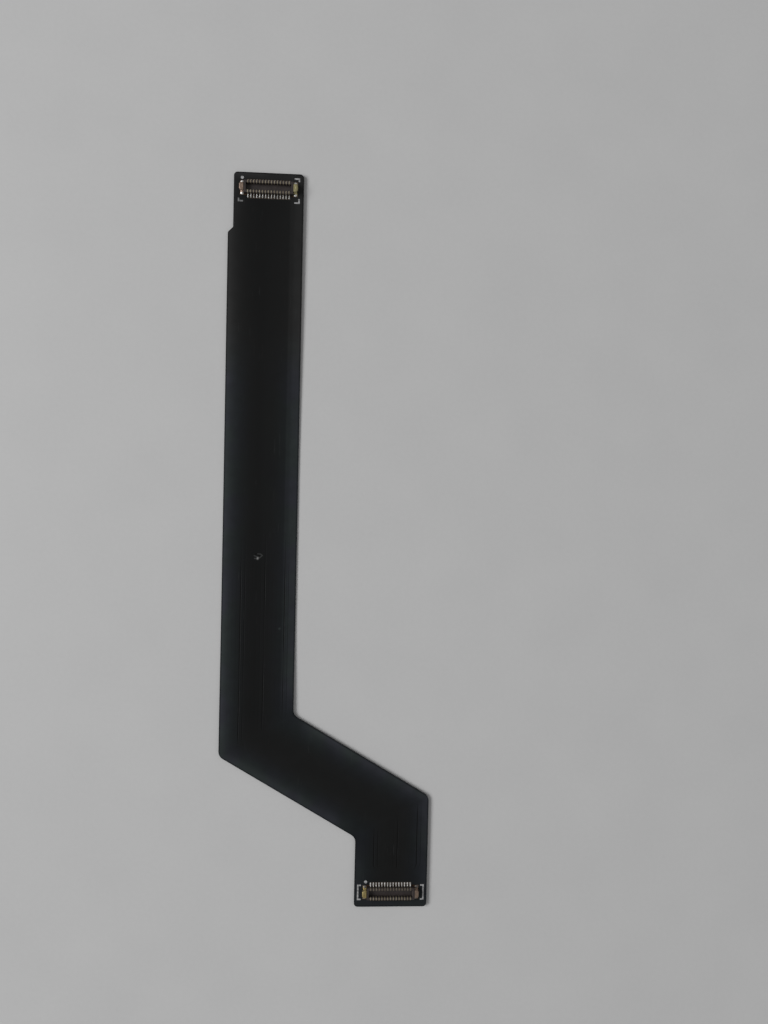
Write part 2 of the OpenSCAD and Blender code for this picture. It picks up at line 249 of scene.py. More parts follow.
def bend_round(quarters, y, z):
    bpy.ops.mesh.spin(
        steps=bend_steps, angle=-quarters * quarter, center=(0, y, z), axis=(1, 0, 0))


# %% [markdown]
# ## Closing and softening a piece
#
# Pressed metal has no knife edges. After the bends are made, doubled points are
# merged, the faces are turned outwards, and a narrow bevel breaks every edge.
# Smooth shading up to an angle keeps the flats flat and the bends round.

# %% Finish a piece
TINY = 0.0005 * MM
soft_edge = 0.012 * MM
sharp_angle = math.radians(40)


def face_outwards():
    bpy.ops.mesh.select_all(action="SELECT")
    bpy.ops.mesh.normals_make_consistent(inside=False)


def close_up(piece, edge):
    bpy.ops.mesh.select_all(action="SELECT")
    bpy.ops.mesh.remove_doubles(threshold=TINY)
    face_outwards()
    bpy.ops.object.mode_set(mode="OBJECT")
    if edge:
        bevel = piece.modifiers.new("edge", "BEVEL")
        bevel.width = edge
        bevel.segments = 2
        bevel.limit_method = "ANGLE"
        bevel.angle_limit = sharp_angle
        bpy.ops.object.modifier_apply(modifier="edge")
    bpy.ops.object.shade_smooth_by_angle(angle=sharp_angle)
    print(piece.name, "has", len(piece.data.polygons), "faces")


# %% [markdown]
# ## One contact
#
# A contact's tail lies on its solder pad. The metal then climbs the outside of
# the plug's wall, rolls over its top and hangs down inside the cavity, where it
# meets the socket. Two bends over the crest and one at the tail make the shape.
# The tails of the outer row are a little shorter, so each row has its own model.

# %% One contact
tail_bend = 0.05 * MM
bend_low = metal + tail_bend
crest_bend = crest_height - crest_radius


def bent_contact(tail_end):
    piece = metal_blank("contact", contact_width, tail_end)
    run_on(wall_out + tail_bend - tail_end, 0)
    bend_round(-1, wall_out + tail_bend, bend_low)
    run_on(0, crest_bend - bend_low)
    bend_round(1, wall_out - crest_radius, crest_bend)
    run_on(wall_in + 2 * crest_radius - wall_out, 0)
    bend_round(1, wall_in + crest_radius, crest_bend)
    run_on(0, leg_height - crest_bend)
    close_up(piece, soft_edge)
    return piece


contacts = {row: bent_contact(end) for row, end in tail_ends.items()}

# %% [markdown]
# ## Rows of contacts
#
# Each row holds fifteen contacts at the same pitch. The one contact is copied
# into place, each copy with its own mesh, and the copies are joined, because
# the frame holds a row as one piece. The finer row then replaces the frame's.

# %% Copy and join
parts_of = {}


def put_copy(model, place):
    copy = model.copy()
    copy.data = model.data.copy()
    bpy.context.scene.collection.objects.link(copy)
    copy.matrix_world = place
    return copy


def join_copies(copies, name, end):
    bpy.ops.object.select_all(action="DESELECT")
    for copy in copies:
        copy.select_set(True)
    bpy.context.view_layer.objects.active = copies[0]
    bpy.ops.object.join()
    piece = bpy.context.object
    settle()
    piece.name = piece.data.name = f"{name}_fine"
    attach(piece, "root")
    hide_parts(name)
    parts_of.setdefault(end, []).append(piece)
    return piece


def row_matrix(end, row):
    return plug_places[end] @ Matrix.Rotation(0 if row == "outer" else math.pi, 4, "Z")


def row_places(end, row):
    return [row_matrix(end, row) @ Matrix.Translation((number * pitch, 0, 0))
            for number in range(-row_half, row_half + 1)]


plug_rows = [(end, row) for end in ("head", "foot") for row in ("outer", "inner")]
contact_rows = []
for end, row in plug_rows:
    copies = [put_copy(contacts[row], place) for place in row_places(end, row)]
    contact_rows.append(join_copies(copies, f"{end}_{row}_contacts", end))
for model in contacts.values():
    bpy.data.objects.remove(model)
print(len(contact_rows), "rows of", 2 * row_half + 1, "contacts")

# %% [markdown]
# ## One end fitting
#
# An end fitting is a wider strip that saddles the block at a plug's end, with a
# tail soldered down on each side. A tab is bent down over the block's end face.
# It grows out of the saddle's side, so the side is first cut twice across, and
# the short face between the cuts is then spun round the corner.

# %% The saddle
fitting_in, fitting_out = (
    corner.x - plug_places["head"].translation.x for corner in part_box("head_right_fitting"))
block_half = 0.49 * MM
saddle_half = block_half + metal
saddle_bend = 0.14 * MM
saddle_tail = saddle_half + 0.3 * MM
corner_x = fitting_out - saddle_bend
saddle_width, saddle_middle = corner_x - fitting_in, (corner_x + fitting_in) / 2
saddle_crest = crest_height - saddle_bend

fitting = metal_blank("fitting", saddle_width, saddle_tail, saddle_middle)
run_on(saddle_half + tail_bend - saddle_tail, 0)
bend_round(-1, saddle_half + tail_bend, bend_low)
run_on(0, saddle_crest - bend_low)
bend_round(1, saddle_half - saddle_bend, saddle_crest)
run_on(2 * (saddle_bend - saddle_half), 0)
bend_round(1, saddle_bend - saddle_half, saddle_crest)
run_on(0, bend_low - saddle_crest)
bend_round(-1, -saddle_half - tail_bend, bend_low)
run_on(saddle_half + tail_bend - saddle_tail, 0)
print("the saddle is", round(saddle_width / MM, 2), "mm wide")

# %% [markdown]
# ## Choosing faces by their place
#
# A script can't click on a face, but it can ask each face where it lies and
# which way it looks. Faces are marked in object mode, and the tools that work
# on the marked ones follow in edit mode.

# %% Select by place
straight_on = 0.9


def pick_faces(piece, test):
    bpy.ops.mesh.select_mode(type="FACE")
    bpy.ops.mesh.select_all(action="DESELECT")
    bpy.ops.object.mode_set(mode="OBJECT")
    picked = 0
    for face in piece.data.polygons:
        face.select = test(face.center, face.normal)
        picked += face.select
    bpy.ops.object.mode_set(mode="EDIT")
    return picked


# %% [markdown]
# ## The tab and the coined hollow
#
# The tab's narrow face is spun a quarter turn over the end and run down to its
# foot. Then the flat top gets the shallow hollow that the press coins into it:
# one inset leaves a rim, and a second one, pushed down, makes the slope.

# %% The tab and the coined hollow
tab_half = 0.35 * MM
tab_foot = 0.25 * MM
rim, slope, hollow_depth = 0.14 * MM, 0.03 * MM, 0.02 * MM


def on_tab_side(at, out):
    return out.x > straight_on and abs(at.y) < tab_half and at.z > saddle_crest


def on_flat_top(at, out):
    over_block = abs(at.y) < tab_half and at.x < corner_x
    return out.z > straight_on and over_block and at.z > crest_height - 0.1 * metal


face_outwards()
for cut_y in (-tab_half, tab_half):
    bpy.ops.mesh.select_all(action="SELECT")
    bpy.ops.mesh.bisect(plane_co=(0, cut_y, 0), plane_no=(0, 1, 0), threshold=TINY)
print(pick_faces(fitting, on_tab_side), "side face")
bpy.ops.mesh.spin(
    steps=bend_steps, angle=-quarter, center=(corner_x, 0, saddle_crest), axis=(0, 1, 0))
run_on(0, tab_foot - saddle_crest)
print(pick_faces(fitting, on_flat_top), "top face")
bpy.ops.mesh.inset(thickness=rim)
bpy.ops.mesh.inset(thickness=slope, depth=-hollow_depth)
close_up(fitting, soft_edge)

# %% [markdown]
# ## Four end fittings
#
# One model serves all four places. Two of them are its mirror image, and a
# mirror turns a shape inside out, so those have their normals made again.

# %% Four end fittings
fittings = {}
mirror_x = Matrix.Scale(-1, 4, (1, 0, 0))


def turn_right_way():
    bpy.ops.object.mode_set(mode="EDIT")
    face_outwards()
    bpy.ops.object.mode_set(mode="OBJECT")


for end, side in (("head", "left"), ("head", "right"), ("foot", "left"), ("foot", "right")):
    mirrored = (end == "head") == (side == "left")
    place = plug_places[end] @ (mirror_x if mirrored else Matrix.Identity(4))
    name = f"{end}_{side}_fitting"
    fittings[end, side] = join_copies([put_copy(fitting, place)], name, end)
    if mirrored:
        turn_right_way()
bpy.data.objects.remove(fitting)
print(len(fittings), "end fittings")

# %% [markdown]
# ## Solder on the tails
#
# Molten solder pulls itself into a rounded bead over each tail and climbs a
# little way up the wall. A bead starts as a ball at the pad's outer end. The
# half that faces the wall is cut away, and the open ring is drawn towards the
# wall, first slimmer and then taller. A last cut lays the bead flat on its pad.
# The bisect tool's own threshold is a tenth of a millimetre, as big as a bead,
# so it is made TINY.

# %% Bead helpers


def ball(name, radius, y, z):
    bpy.ops.object.select_all(action="DESELECT")
    bpy.ops.mesh.primitive_uv_sphere_add(
        segments=16, ring_count=10, radius=radius, location=(0, y, z),
        rotation=(quarter, 0, 0))
    bead = bpy.context.object
    bead.name = name
    settle()
    bpy.ops.object.mode_set(mode="EDIT")
    bpy.ops.mesh.select_all(action="SELECT")
    return bead


def cut_away(at, keep):
    bpy.ops.mesh.select_all(action="SELECT")
    bpy.ops.mesh.bisect(
        plane_co=at, plane_no=keep, use_fill=True, clear_inner=True, threshold=TINY)


def draw_ring(y, wide, high, rise):
    bpy.ops.mesh.extrude_region_move(TRANSFORM_OT_translate={"value": (0, y, rise)})
    bpy.ops.transform.resize(value=(wide, 1, high))


# %% One bead
bead_radius = 0.11 * MM
# Each ring: its share of the way, width and height to the ring before, rise.
neck = ((0.45, 0.93, 0.9, 0.0), (0.25, 0.94, 1.05, 0.008 * MM),
        (0.16, 0.93, 1.15, 0.015 * MM), (0.14, 0.9, 1.2, 0.02 * MM))


def solder_bead(pad_end):
    nose = pad_end - bead_radius
    reach = nose - wall_out
    bead = ball("bead", bead_radius, nose, 0)
    bpy.ops.mesh.bisect(
        plane_co=(0, nose, 0), plane_no=(0, 1, 0), clear_inner=True, threshold=TINY)
    bpy.ops.mesh.select_mode(type="EDGE")
    bpy.ops.mesh.select_all(action="DESELECT")
    bpy.ops.mesh.select_non_manifold()
    for share, wide, high, rise in neck:
        draw_ring(-share * reach, wide, high, rise)
    bpy.ops.mesh.edge_face_add()
    cut_away((0, 0, 0), (0, 0, 1))
    close_up(bead, 0)
    return bead


beads = {row: solder_bead(end) for row, end in pad_ends.items()}

# %% [markdown]
# ## Solder on the fittings' tails
#
# A fitting's tail is wider, so its solder is a low mound as long as the saddle.
# It starts as a ball as well, is stretched along the tail, and is cut off flat
# where it meets the saddle's side and the pad.

# %% One mound
mound_radius = 0.22 * MM
mound_length = 1.1 * saddle_width
mound_squash = 0.75
mound_middle = (saddle_middle, saddle_half + 0.2 * MM, -0.02 * MM)


def solder_mound():
    mound = ball("mound", mound_radius, 0, 0)
    bpy.ops.transform.resize(value=(mound_length / (2 * mound_radius), 1, mound_squash))
    bpy.ops.transform.translate(value=mound_middle)
    cut_away((0, saddle_half, 0), (0, 1, 0))
    cut_away((0, 0, 0), (0, 0, 1))
    close_up(mound, 0)
    return mound


mound = solder_mound()

# %% [markdown]
# ## Rows of solder
#
# No two joints take up the same solder. Each bead is a little wider or taller
# than its neighbour by a sine of its number, which gives the same row on every
# run, and a few joints near the head are plainly fuller than the rest.

# %% Four rows of solder
full_joints = {("head", "inner"): (1, 5, 9, 10)}
uneven, full, widest = 0.07, 1.22, 1.12
solder_rows = []
for seed, (end, row) in enumerate(plug_rows):
    copies = []
    for number, place in enumerate(row_places(end, row)):
        amount = 1 + uneven * math.sin(97 * number + 40 * seed)
        if number in full_joints.get((end, row), ()):
            amount = full
        swell = Matrix.Diagonal((min(amount, widest), 1, amount, 1))
        copies.append(put_copy(beads[row], place @ swell))
    copies.append(put_copy(mound, row_matrix(end, row)))
    copies.append(put_copy(mound, row_matrix(end, row) @ mirror_x))
    solder_rows.append(join_copies(copies, f"{end}_{row}_solder", end))
    turn_right_way()
for model in (*beads.values(), mound):
    bpy.data.objects.remove(model)
print(len(solder_rows), "rows of solder")

# %% [markdown]
# ## Small tools for finishes
#
# Each finish is a node tree. These helpers add a node, wire one to the next and
# do sums, so that a material reads as a short list of what it is made of.

# %% Nodes and sums


def feed(tree, socket, value):
    if hasattr(value, "links"):
        tree.links.new(value, socket)
    else:
        socket.default_value = value


def add_node(tree, kind, settings=None, **values):
    made = tree.nodes.new(kind)
    for name, value in (settings or {}).items():
        setattr(made, name, value)
    for name, value in values.items():
        feed(tree, made.inputs[name.replace("_", " ")], value)
    return made


def calc(tree, operation, a, b=0.0, clamp=False):
    made = add_node(tree, "ShaderNodeMath", {"operation": operation, "use_clamp": clamp})
    feed(tree, made.inputs[0], a)
    feed(tree, made.inputs[1], b)
    return made.outputs[0]


def vector_calc(tree, operation, a, b, answer):
    made = add_node(tree, "ShaderNodeVectorMath", {"operation": operation})
    feed(tree, made.inputs[0], a)
    feed(tree, made.inputs[1], b)
    return made.outputs[answer]


def times(tree, first, *others):
    for other in others:
        first = calc(tree, "MULTIPLY", first, other)
    return first


def plus(tree, first, *others):
    for other in others:
        first = calc(tree, "ADD", first, other)
    return first


def minus(tree, a, b):
    return calc(tree, "SUBTRACT", a, b)


def remap(tree, value, low, high, to_low=0.0, to_high=1.0, smooth=False):
    way = "SMOOTHSTEP" if smooth else "LINEAR"
    made = add_node(
        tree, "ShaderNodeMapRange", {"interpolation_type": way}, Value=value,
        From_Min=low, From_Max=high, To_Min=to_low, To_Max=to_high)
    return made.outputs["Result"]


def blend(tree, factor, a, b):
    made = add_node(tree, "ShaderNodeMix", {"data_type": "RGBA"})
    feed(tree, made.inputs[0], factor)
    feed(tree, made.inputs[6], a if hasattr(a, "links") else (*a, 1))
    feed(tree, made.inputs[7], b if hasattr(b, "links") else (*b, 1))
    return made.outputs[2]


# %% [markdown]
# ## Patterns
#
# Every pattern is read at the point's own place on the object, so it stays put
# however the cable is looked at. Noise is given by the size of its clouds.

# %% Patterns


def at_point(tree):
    return add_node(tree, "ShaderNodeTexCoord").outputs["Object"]


def noise(tree, size, detail=2.0, place=None):
    made = add_node(
        tree, "ShaderNodeTexNoise", Vector=place or at_point(tree), Scale=1 / size,
        Detail=detail)
    return made.outputs["Fac"]


def stretched(tree, scale, turn):
    made = add_node(
        tree, "ShaderNodeMapping", Vector=at_point(tree), Scale=scale, Rotation=(0, 0, turn))
    return made.outputs["Vector"]


# %% [markdown]
# ## Groups and materials
#
# What several materials share is built once as a group, with named inputs and
# outputs. A material keeps its shader to itself, and its fixed numbers are set
# on the shader directly.

# %% Groups and materials


def new_group(name, inputs, outputs, colours=()):
    made = bpy.data.node_groups.new(name, "ShaderNodeTree")
    for way, titles in (("INPUT", inputs), ("OUTPUT", outputs)):
        for title in titles:
            kind = "NodeSocketColor" if title in colours else "NodeSocketFloat"
            made.interface.new_socket(title, in_out=way, socket_type=kind)
    given = made.nodes.new("NodeGroupInput").outputs
    return made, given, made.nodes.new("NodeGroupOutput").inputs


def use_group(tree, group, **values):
    made = tree.nodes.new("ShaderNodeGroup")
    made.node_tree = group
    for name, value in values.items():
        feed(tree, made.inputs[name], value)
    return made.outputs


def new_material(name, roughness=0.5, metallic=0.0, specular=0.5):
    made = bpy.data.materials.new(name)
    made.use_nodes = True
    shader = made.node_tree.nodes["Principled BSDF"]
    shader.inputs["Roughness"].default_value = roughness
    shader.inputs["Metallic"].default_value = metallic
    shader.inputs["Specular IOR Level"].default_value = specular
    return made, made.node_tree, shader


def raise_surface(tree, shader, height, depth, strength):
    bump = add_node(tree, "ShaderNodeBump", Strength=strength, Distance=depth, Height=height)
    feed(tree, shader.inputs["Normal"], bump.outputs["Normal"])


def dress(material, *pieces):
    for piece in pieces:
        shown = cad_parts[piece] if isinstance(piece, str) else piece
        if not shown.material_slots:
            shown.data.materials.append(material)
        for slot in shown.material_slots:
            slot.material = material
    print(material.name, "dresses", len(pieces), "pieces")


# %% [markdown]
# ## A map of the strip
#
# Several finishes have to know where they are on the strip: how far the nearest
# edge is, and whether copper runs below. A node group works this out once. On
# each straight run the distance from the centre line is a plain sum, and at the
# two bends the smaller or the larger of two such sums is the right one.

# %% Strip map
MM_PER_M = 1 / MM
half_width = strip_width / 2 / MM
strip_map, given, result = new_group(
    "strip_map", (), ("Edge", "Along", "Right", "Corner", "Groove", "Ridge"))
place = add_node(strip_map, "ShaderNodeSeparateXYZ", Vector=at_point(strip_map))
x = times(strip_map, place.outputs["X"], MM_PER_M)
y = times(strip_map, place.outputs["Y"], MM_PER_M)
head_side = minus(strip_map, x, run_x / MM)
below_bend = minus(strip_map, y, bend1_y / MM)
slant_side = plus(strip_map, times(strip_map, head_side, math.sin(slant)),
                  times(strip_map, below_bend, math.cos(slant)))
leg_side = minus(strip_map, x, leg_x / MM)
side = calc(strip_map, "MAXIMUM", calc(strip_map, "MINIMUM", head_side, slant_side), leg_side)
edge = minus(strip_map, half_width, calc(strip_map, "ABSOLUTE", side))
edge = calc(strip_map, "MINIMUM", edge, minus(strip_map, head_y / MM, y))
edge = calc(strip_map, "MINIMUM", edge, minus(strip_map, y, foot_y / MM))
feed(strip_map, result["Edge"], edge)
feed(strip_map, result["Along"], y)
feed(strip_map, result["Right"], remap(strip_map, side, -0.5, 0.5))
print("each edge is", round(half_width, 2), "mm from the centre line")

# %% Distance to the inner corners of the bends
mitre = half_width * math.tan(math.pi / 4 - slant / 2)
inner_corners = ((run_x / MM + half_width, bend1_y / MM + mitre),
                 (leg_x / MM - half_width, bend2_y / MM - mitre))
to_corner = []
for corner_across, corner_along in inner_corners:
    across = minus(strip_map, x, corner_across)
    along = minus(strip_map, y, corner_along)
    squares = plus(strip_map, times(strip_map, across, across), times(strip_map, along, along))
    to_corner.append(calc(strip_map, "SQRT", squares))
feed(strip_map, result["Corner"], calc(strip_map, "MINIMUM", *to_corner))
print("inner corners at", [[round(part, 1) for part in corner] for corner in inner_corners])

# %% [markdown]
# ## Lines of copper under the film
#
# Fifteen flat copper lines run side by side. Near a plug they close up to the
# pitch of its contacts. The distance from the centre line, counted in pitches,
# is a whole number on the middle of each line, so its fraction tells how far
# the middle is. The cover film sinks into a shallow groove between two lines,
# and the line beside it stands up as a low ridge. A sine of the lane's number
# picks the few lanes where this shows, and a drawn-out cloud fades it in and
# out. It shows below the middle of the run, and hardly at all on the slant.

# %% Copper lines in the map
strip_pitch, plug_pitch = 0.55, pitch / MM
fan_near, fan_far = 1.55, 3.9
groove_from, groove_full = 0.32, 0.42
ridge_at, ridge_half, ridge_top = 0.26, 0.13, 0.04
head_plug_y = plug_places["head"].translation.y / MM
foot_plug_y = plug_places["foot"].translation.y / MM
head_shift = (plug_places["head"].translation.x - run_x) / MM
near_head = remap(strip_map, y, head_plug_y - fan_far, head_plug_y - fan_near)
near_foot = remap(strip_map, y, foot_plug_y + fan_far, foot_plug_y + fan_near)
near_plug = plus(strip_map, near_head, near_foot)
narrower = times(strip_map, near_plug, plug_pitch - strip_pitch)
from_line = minus(strip_map, side, times(strip_map, near_head, head_shift))
count = calc(strip_map, "DIVIDE", from_line, plus(strip_map, strip_pitch, narrower))
off_line = minus(strip_map, count, calc(strip_map, "ROUND", count))
groove = remap(
    strip_map, calc(strip_map, "ABSOLUTE", off_line), groove_from, groove_full, smooth=True)
off_ridge = calc(strip_map, "ABSOLUTE", plus(strip_map, off_line, ridge_at))
ridge = remap(strip_map, off_ridge, ridge_half, ridge_top, smooth=True)
inside = remap(strip_map, calc(strip_map, "ABSOLUTE", count), row_half + 0.55, row_half + 0.5)
print("lines every", strip_pitch, "mm, at a plug every", round(plug_pitch, 2), "mm")

# %% Grooves come and go
lane_beat, lane_start = 1.14, 0.6
apart, drawn_out = 3.7, 0.07
lane = calc(strip_map, "FLOOR", count)
chosen = calc(strip_map, "SINE", plus(strip_map, times(strip_map, lane, lane_beat), lane_start))
at_lane = add_node(strip_map, "ShaderNodeCombineXYZ", X=times(strip_map, lane, apart),
                   Y=times(strip_map, y, drawn_out))
luck = noise(strip_map, 1.0, place=at_lane.outputs["Vector"])
low_on_run = remap(strip_map, y, 2, -6)
off_plug = remap(strip_map, near_foot, 0.0, 0.3, 1.0, 0.0)
off_slant = calc(strip_map, "ABSOLUTE", minus(strip_map, side, slant_side))
seen = times(strip_map, remap(strip_map, chosen, 0.5, 0.95, 0.1, 1.0),
             remap(strip_map, luck, 0.32, 0.48), inside, low_on_run, off_plug,
             remap(strip_map, off_slant, 1.5, 0.0, 1.0, 0.07))
feed(strip_map, result["Groove"], times(strip_map, groove, seen))
feed(strip_map, result["Ridge"], times(strip_map, ridge, seen))
print("the strip map has", len(strip_map.nodes), "nodes")

# %% [markdown]
# ## Grain
#
# Matt film, moulded plastic and the table all have a fine grain that breaks up
# the light. One group makes it at any size: a tone around one half for colour
# and roughness, and a height for the surface.

# %% Grain
grain, given, result = new_group("grain", ("Fineness",), ("Tone", "Height"))
place = at_point(grain)
fine = add_node(grain, "ShaderNodeTexNoise", Vector=place, Scale=given["Fineness"], Detail=3.0)
coarse_scale = times(grain, given["Fineness"], 0.06)
coarse = add_node(grain, "ShaderNodeTexNoise", Vector=place, Scale=coarse_scale, Detail=2.0)
feed(grain, result["Tone"], plus(grain, times(grain, fine.outputs["Fac"], 0.4),
                                 times(grain, coarse.outputs["Fac"], 0.6)))
feed(grain, result["Height"], fine.outputs["Fac"])
print("the grain has", len(grain.nodes), "nodes")

# %% [markdown]
# ## Tarnish
#
# Thin plating is never one colour. It darkens and turns a little from piece to
# piece, and handling leaves duller patches. This group mixes a clean and a
# tarnished colour by two sizes of cloud, and puts out a matching roughness.

# %% Tarnish
tarnish, given, result = new_group(
    "tarnish", ("Clean", "Dull", "Patch", "Gloss"), ("Color", "Roughness", "Height"),
    colours=("Clean", "Dull", "Color"))
place = at_point(tarnish)
cloud = add_node(tarnish, "ShaderNodeTexNoise", Vector=place, Scale=given["Patch"], Detail=3.0)
spot_scale = times(tarnish, given["Patch"], 7)
spot = add_node(tarnish, "ShaderNodeTexNoise", Vector=place, Scale=spot_scale, Detail=2.0)
clouded = remap(tarnish, cloud.outputs["Fac"], 0.38, 0.62, 0.0, 0.7, smooth=True)
spotted = remap(tarnish, spot.outputs["Fac"], 0.45, 0.7, 0.0, 0.4)
amount = calc(tarnish, "ADD", clouded, spotted, clamp=True)
feed(tarnish, result["Color"], blend(tarnish, amount, given["Clean"], given["Dull"]))
duller = times(tarnish, amount, 0.18)
feed(tarnish, result["Roughness"], plus(tarnish, given["Gloss"], duller))
feed(tarnish, result["Height"], spot.outputs["Fac"])
print("the tarnish has", len(tarnish.nodes), "nodes")

# %% [markdown]
# ## Table
#
# The table is plain pale grey paint with the faintest cloud and grain, so that
# nothing on it competes with the cable.

# %% Table paint
darker_grey, paler_grey = (0.432, 0.432, 0.433), (0.452, 0.452, 0.452)
table_paint, tree, shader = new_material("table_paint", roughness=0.6, specular=0.3)
soft = use_group(tree, grain, Fineness=1 / (0.6 * MM))
tone = remap(tree, soft["Tone"], 0.3, 0.7)
feed(tree, shader.inputs["Base Color"], blend(tree, tone, darker_grey, paler_grey))
feed(tree, shader.inputs["Roughness"], remap(tree, soft["Tone"], 0.0, 1.0, 0.55, 0.65))
raise_surface(tree, shader, soft["Height"], 0.004 * MM, 0.3)
dress(table_paint, table)

# %% [markdown]
# ## Cover film
#
# The cover film is matt black plastic. It is darkest along its middle. Towards
# each long edge it is painted greyer and a little bluer, a painted glare that
# falls off over about a millimetre. Along the right side above the first bend it
# has two steps and a slow tail instead. It is weaker near the plugs and at the
# inner corners of the bends, and below the first bend it is weaker within
# 0.8 mm of the edge. The outermost rim stays dark.

# %% Painted glare along the edges
cover_film, tree, shader = new_material("cover_film", roughness=0.5, specular=0.1)
where = use_group(tree, strip_map)
grit = use_group(tree, grain, Fineness=1 / (0.09 * MM))
# Painted glare: the film is painted paler along its edges, standing in for light.
near_edge = calc(tree, "EXPONENT", times(tree, where["Edge"], -0.95))
slow_fall = calc(tree, "EXPONENT", times(tree, where["Edge"], -0.42))
steps = plus(tree, remap(tree, where["Edge"], 1.9, 1.65, 0.0, 0.15, smooth=True),
             remap(tree, where["Edge"], 1.4, 0.9, 0.0, 0.13, smooth=True),
             times(tree, slow_fall, 0.26))
above_bend = remap(tree, where["Along"], bend1_y / MM, bend1_y / MM + 5)
painted_glare = add_node(tree, "ShaderNodeMix", Factor=times(tree, where["Right"], above_bend))
feed(tree, painted_glare.inputs["A"], near_edge)
feed(tree, painted_glare.inputs["B"], steps)
glare_head_fade = remap(tree, where["Along"], 18, 44, 1.0, 0.6, smooth=True)
glare_foot_fade = remap(tree, where["Along"], -34, -46, 1.0, 0.5, smooth=True)
off_corner = remap(tree, where["Corner"], 0.5, 4.0, 0.25, 1.0)
off_rim = remap(tree, where["Edge"], 0.05, 0.25, 0.15, 1.0)
lower_half = remap(tree, where["Along"], bend1_y / MM + 3, bend1_y / MM - 3)
glare_rim_fade = times(tree, lower_half, remap(tree, where["Edge"], 0.8, 0.1, 0.0, 0.35))
painted_glare = times(tree, painted_glare.outputs["Result"], glare_head_fade, glare_foot_fade, off_corner, off_rim,
             minus(tree, 1.0, glare_rim_fade))
print("the glow takes", len(tree.nodes), "nodes")

# %% [markdown]
# ## The colours of the cover film
#
# Two blacks mix in slow clouds, with a slightly paler one below the bend. The
# painted glare has a tint of its own, which drifts between violet and green, and
# turns to plain grey near the head. Away from the head it reaches further in as
# a bluish black. Ridges, grooves and a fine grit come last, because they lie over
# everything else; the ridges get a painted highlight and the grooves a painted
# shade.

# %% Cover film colour
inky, sooty = (0.0034, 0.0036, 0.0037), (0.0056, 0.0058, 0.0058)
leg_black, bluish_black = (0.0068, 0.007, 0.007), (0.0052, 0.0068, 0.0082)
violet, green, plain_grey = (0.038, 0.040, 0.049), (0.036, 0.044, 0.043), (0.042,) * 3
ridge_painted_highlight, groove_painted_shade, grit_black = (0.03, 0.032, 0.034), (0.0005,) * 3, (0.0015,) * 3

deep = blend(tree, noise(tree, 7 * MM, 3.0), inky, sooty)
deep = blend(tree, lower_half, deep, leg_black)
cool = remap(tree, where["Along"], 30, 22)
# Painted glare reaching further in from the edges, as a bluish black.
far_painted_glare = times(tree, remap(tree, where["Edge"], 4.0, 0.6, smooth=True), cool)
deep = blend(tree, far_painted_glare, deep, bluish_black)
tint = blend(tree, remap(tree, noise(tree, 5 * MM, 1.0), 0.42, 0.58), violet, green)
film_colour = blend(tree, painted_glare, deep, blend(tree, cool, plain_grey, tint))
# Painted highlight on the ridges and painted shade in the grooves.
film_colour = blend(tree, times(tree, where["Ridge"], 0.09), film_colour, ridge_painted_highlight)
film_colour = blend(tree, times(tree, where["Groove"], 0.85), film_colour, groove_painted_shade)
gritty = remap(tree, grit["Tone"], 0.35, 0.65, 0.0, 0.25)
film_colour = blend(tree, gritty, film_colour, grit_black)
print("with its colours it takes", len(tree.nodes))

# %% [markdown]
# ## Handling marks
#
# A part that has been fitted and taken out again has hairline scratches. They
# are noise drawn out into threads by a Mapping node, cut off so that only the
# thinnest peaks are left, and then broken up by a second, cloudy noise.

# %% Scratches
scratch_grey = (0.03, 0.031, 0.032)
threads = noise(tree, 0.12 * MM, 1.0, place=stretched(tree, (1, 0.03, 1), 0.5))
threads = remap(tree, threads, 0.68, 0.74)
broken = remap(tree, noise(tree, 4 * MM), 0.5, 0.62)
scratch = times(tree, threads, broken)
film_colour = blend(tree, times(tree, scratch, 0.35), film_colour, scratch_grey)
print("with the scratches it takes", len(tree.nodes))

# %% [markdown]
# ## A dent in the middle of the strip
#
# Halfway along the run something has pressed a small crumple into the film: a
# pale spot, thin creases that curl away from it, and two hollows, which are
# painted nearly black as painted shade. A faint speck lies by itself further
# down, on the right. Each is a short stroke. How far a point is from a stroke
# comes from how far it is along the stroke, held between its two ends. The
# strokes are given in millimetres from the pale spot.

# %% Strokes


def stroke(tree, at, start, end, width):
    run = (end[0] - start[0], end[1] - start[1], 0)
    off = vector_calc(tree, "SUBTRACT", at, (*start, 0), "Vector")
    along = vector_calc(tree, "DOT_PRODUCT", off, run, "Value")
    length = run[0] ** 2 + run[1] ** 2
    part = calc(tree, "DIVIDE", along, length, clamp=True)
    foot = add_node(tree, "ShaderNodeVectorMath", {"operation": "SCALE"}, Scale=part)
    foot.inputs[0].default_value = run
    gap = vector_calc(tree, "DISTANCE", off, foot.outputs["Vector"], "Value")
    share = calc(tree, "DIVIDE", gap, width)
    return calc(tree, "EXPONENT", times(tree, share, share, -1.0))


def strongest(tree, masks):
    result = masks[0]
    for mask in masks[1:]:
        result = calc(tree, "MAXIMUM", result, mask)
    return result


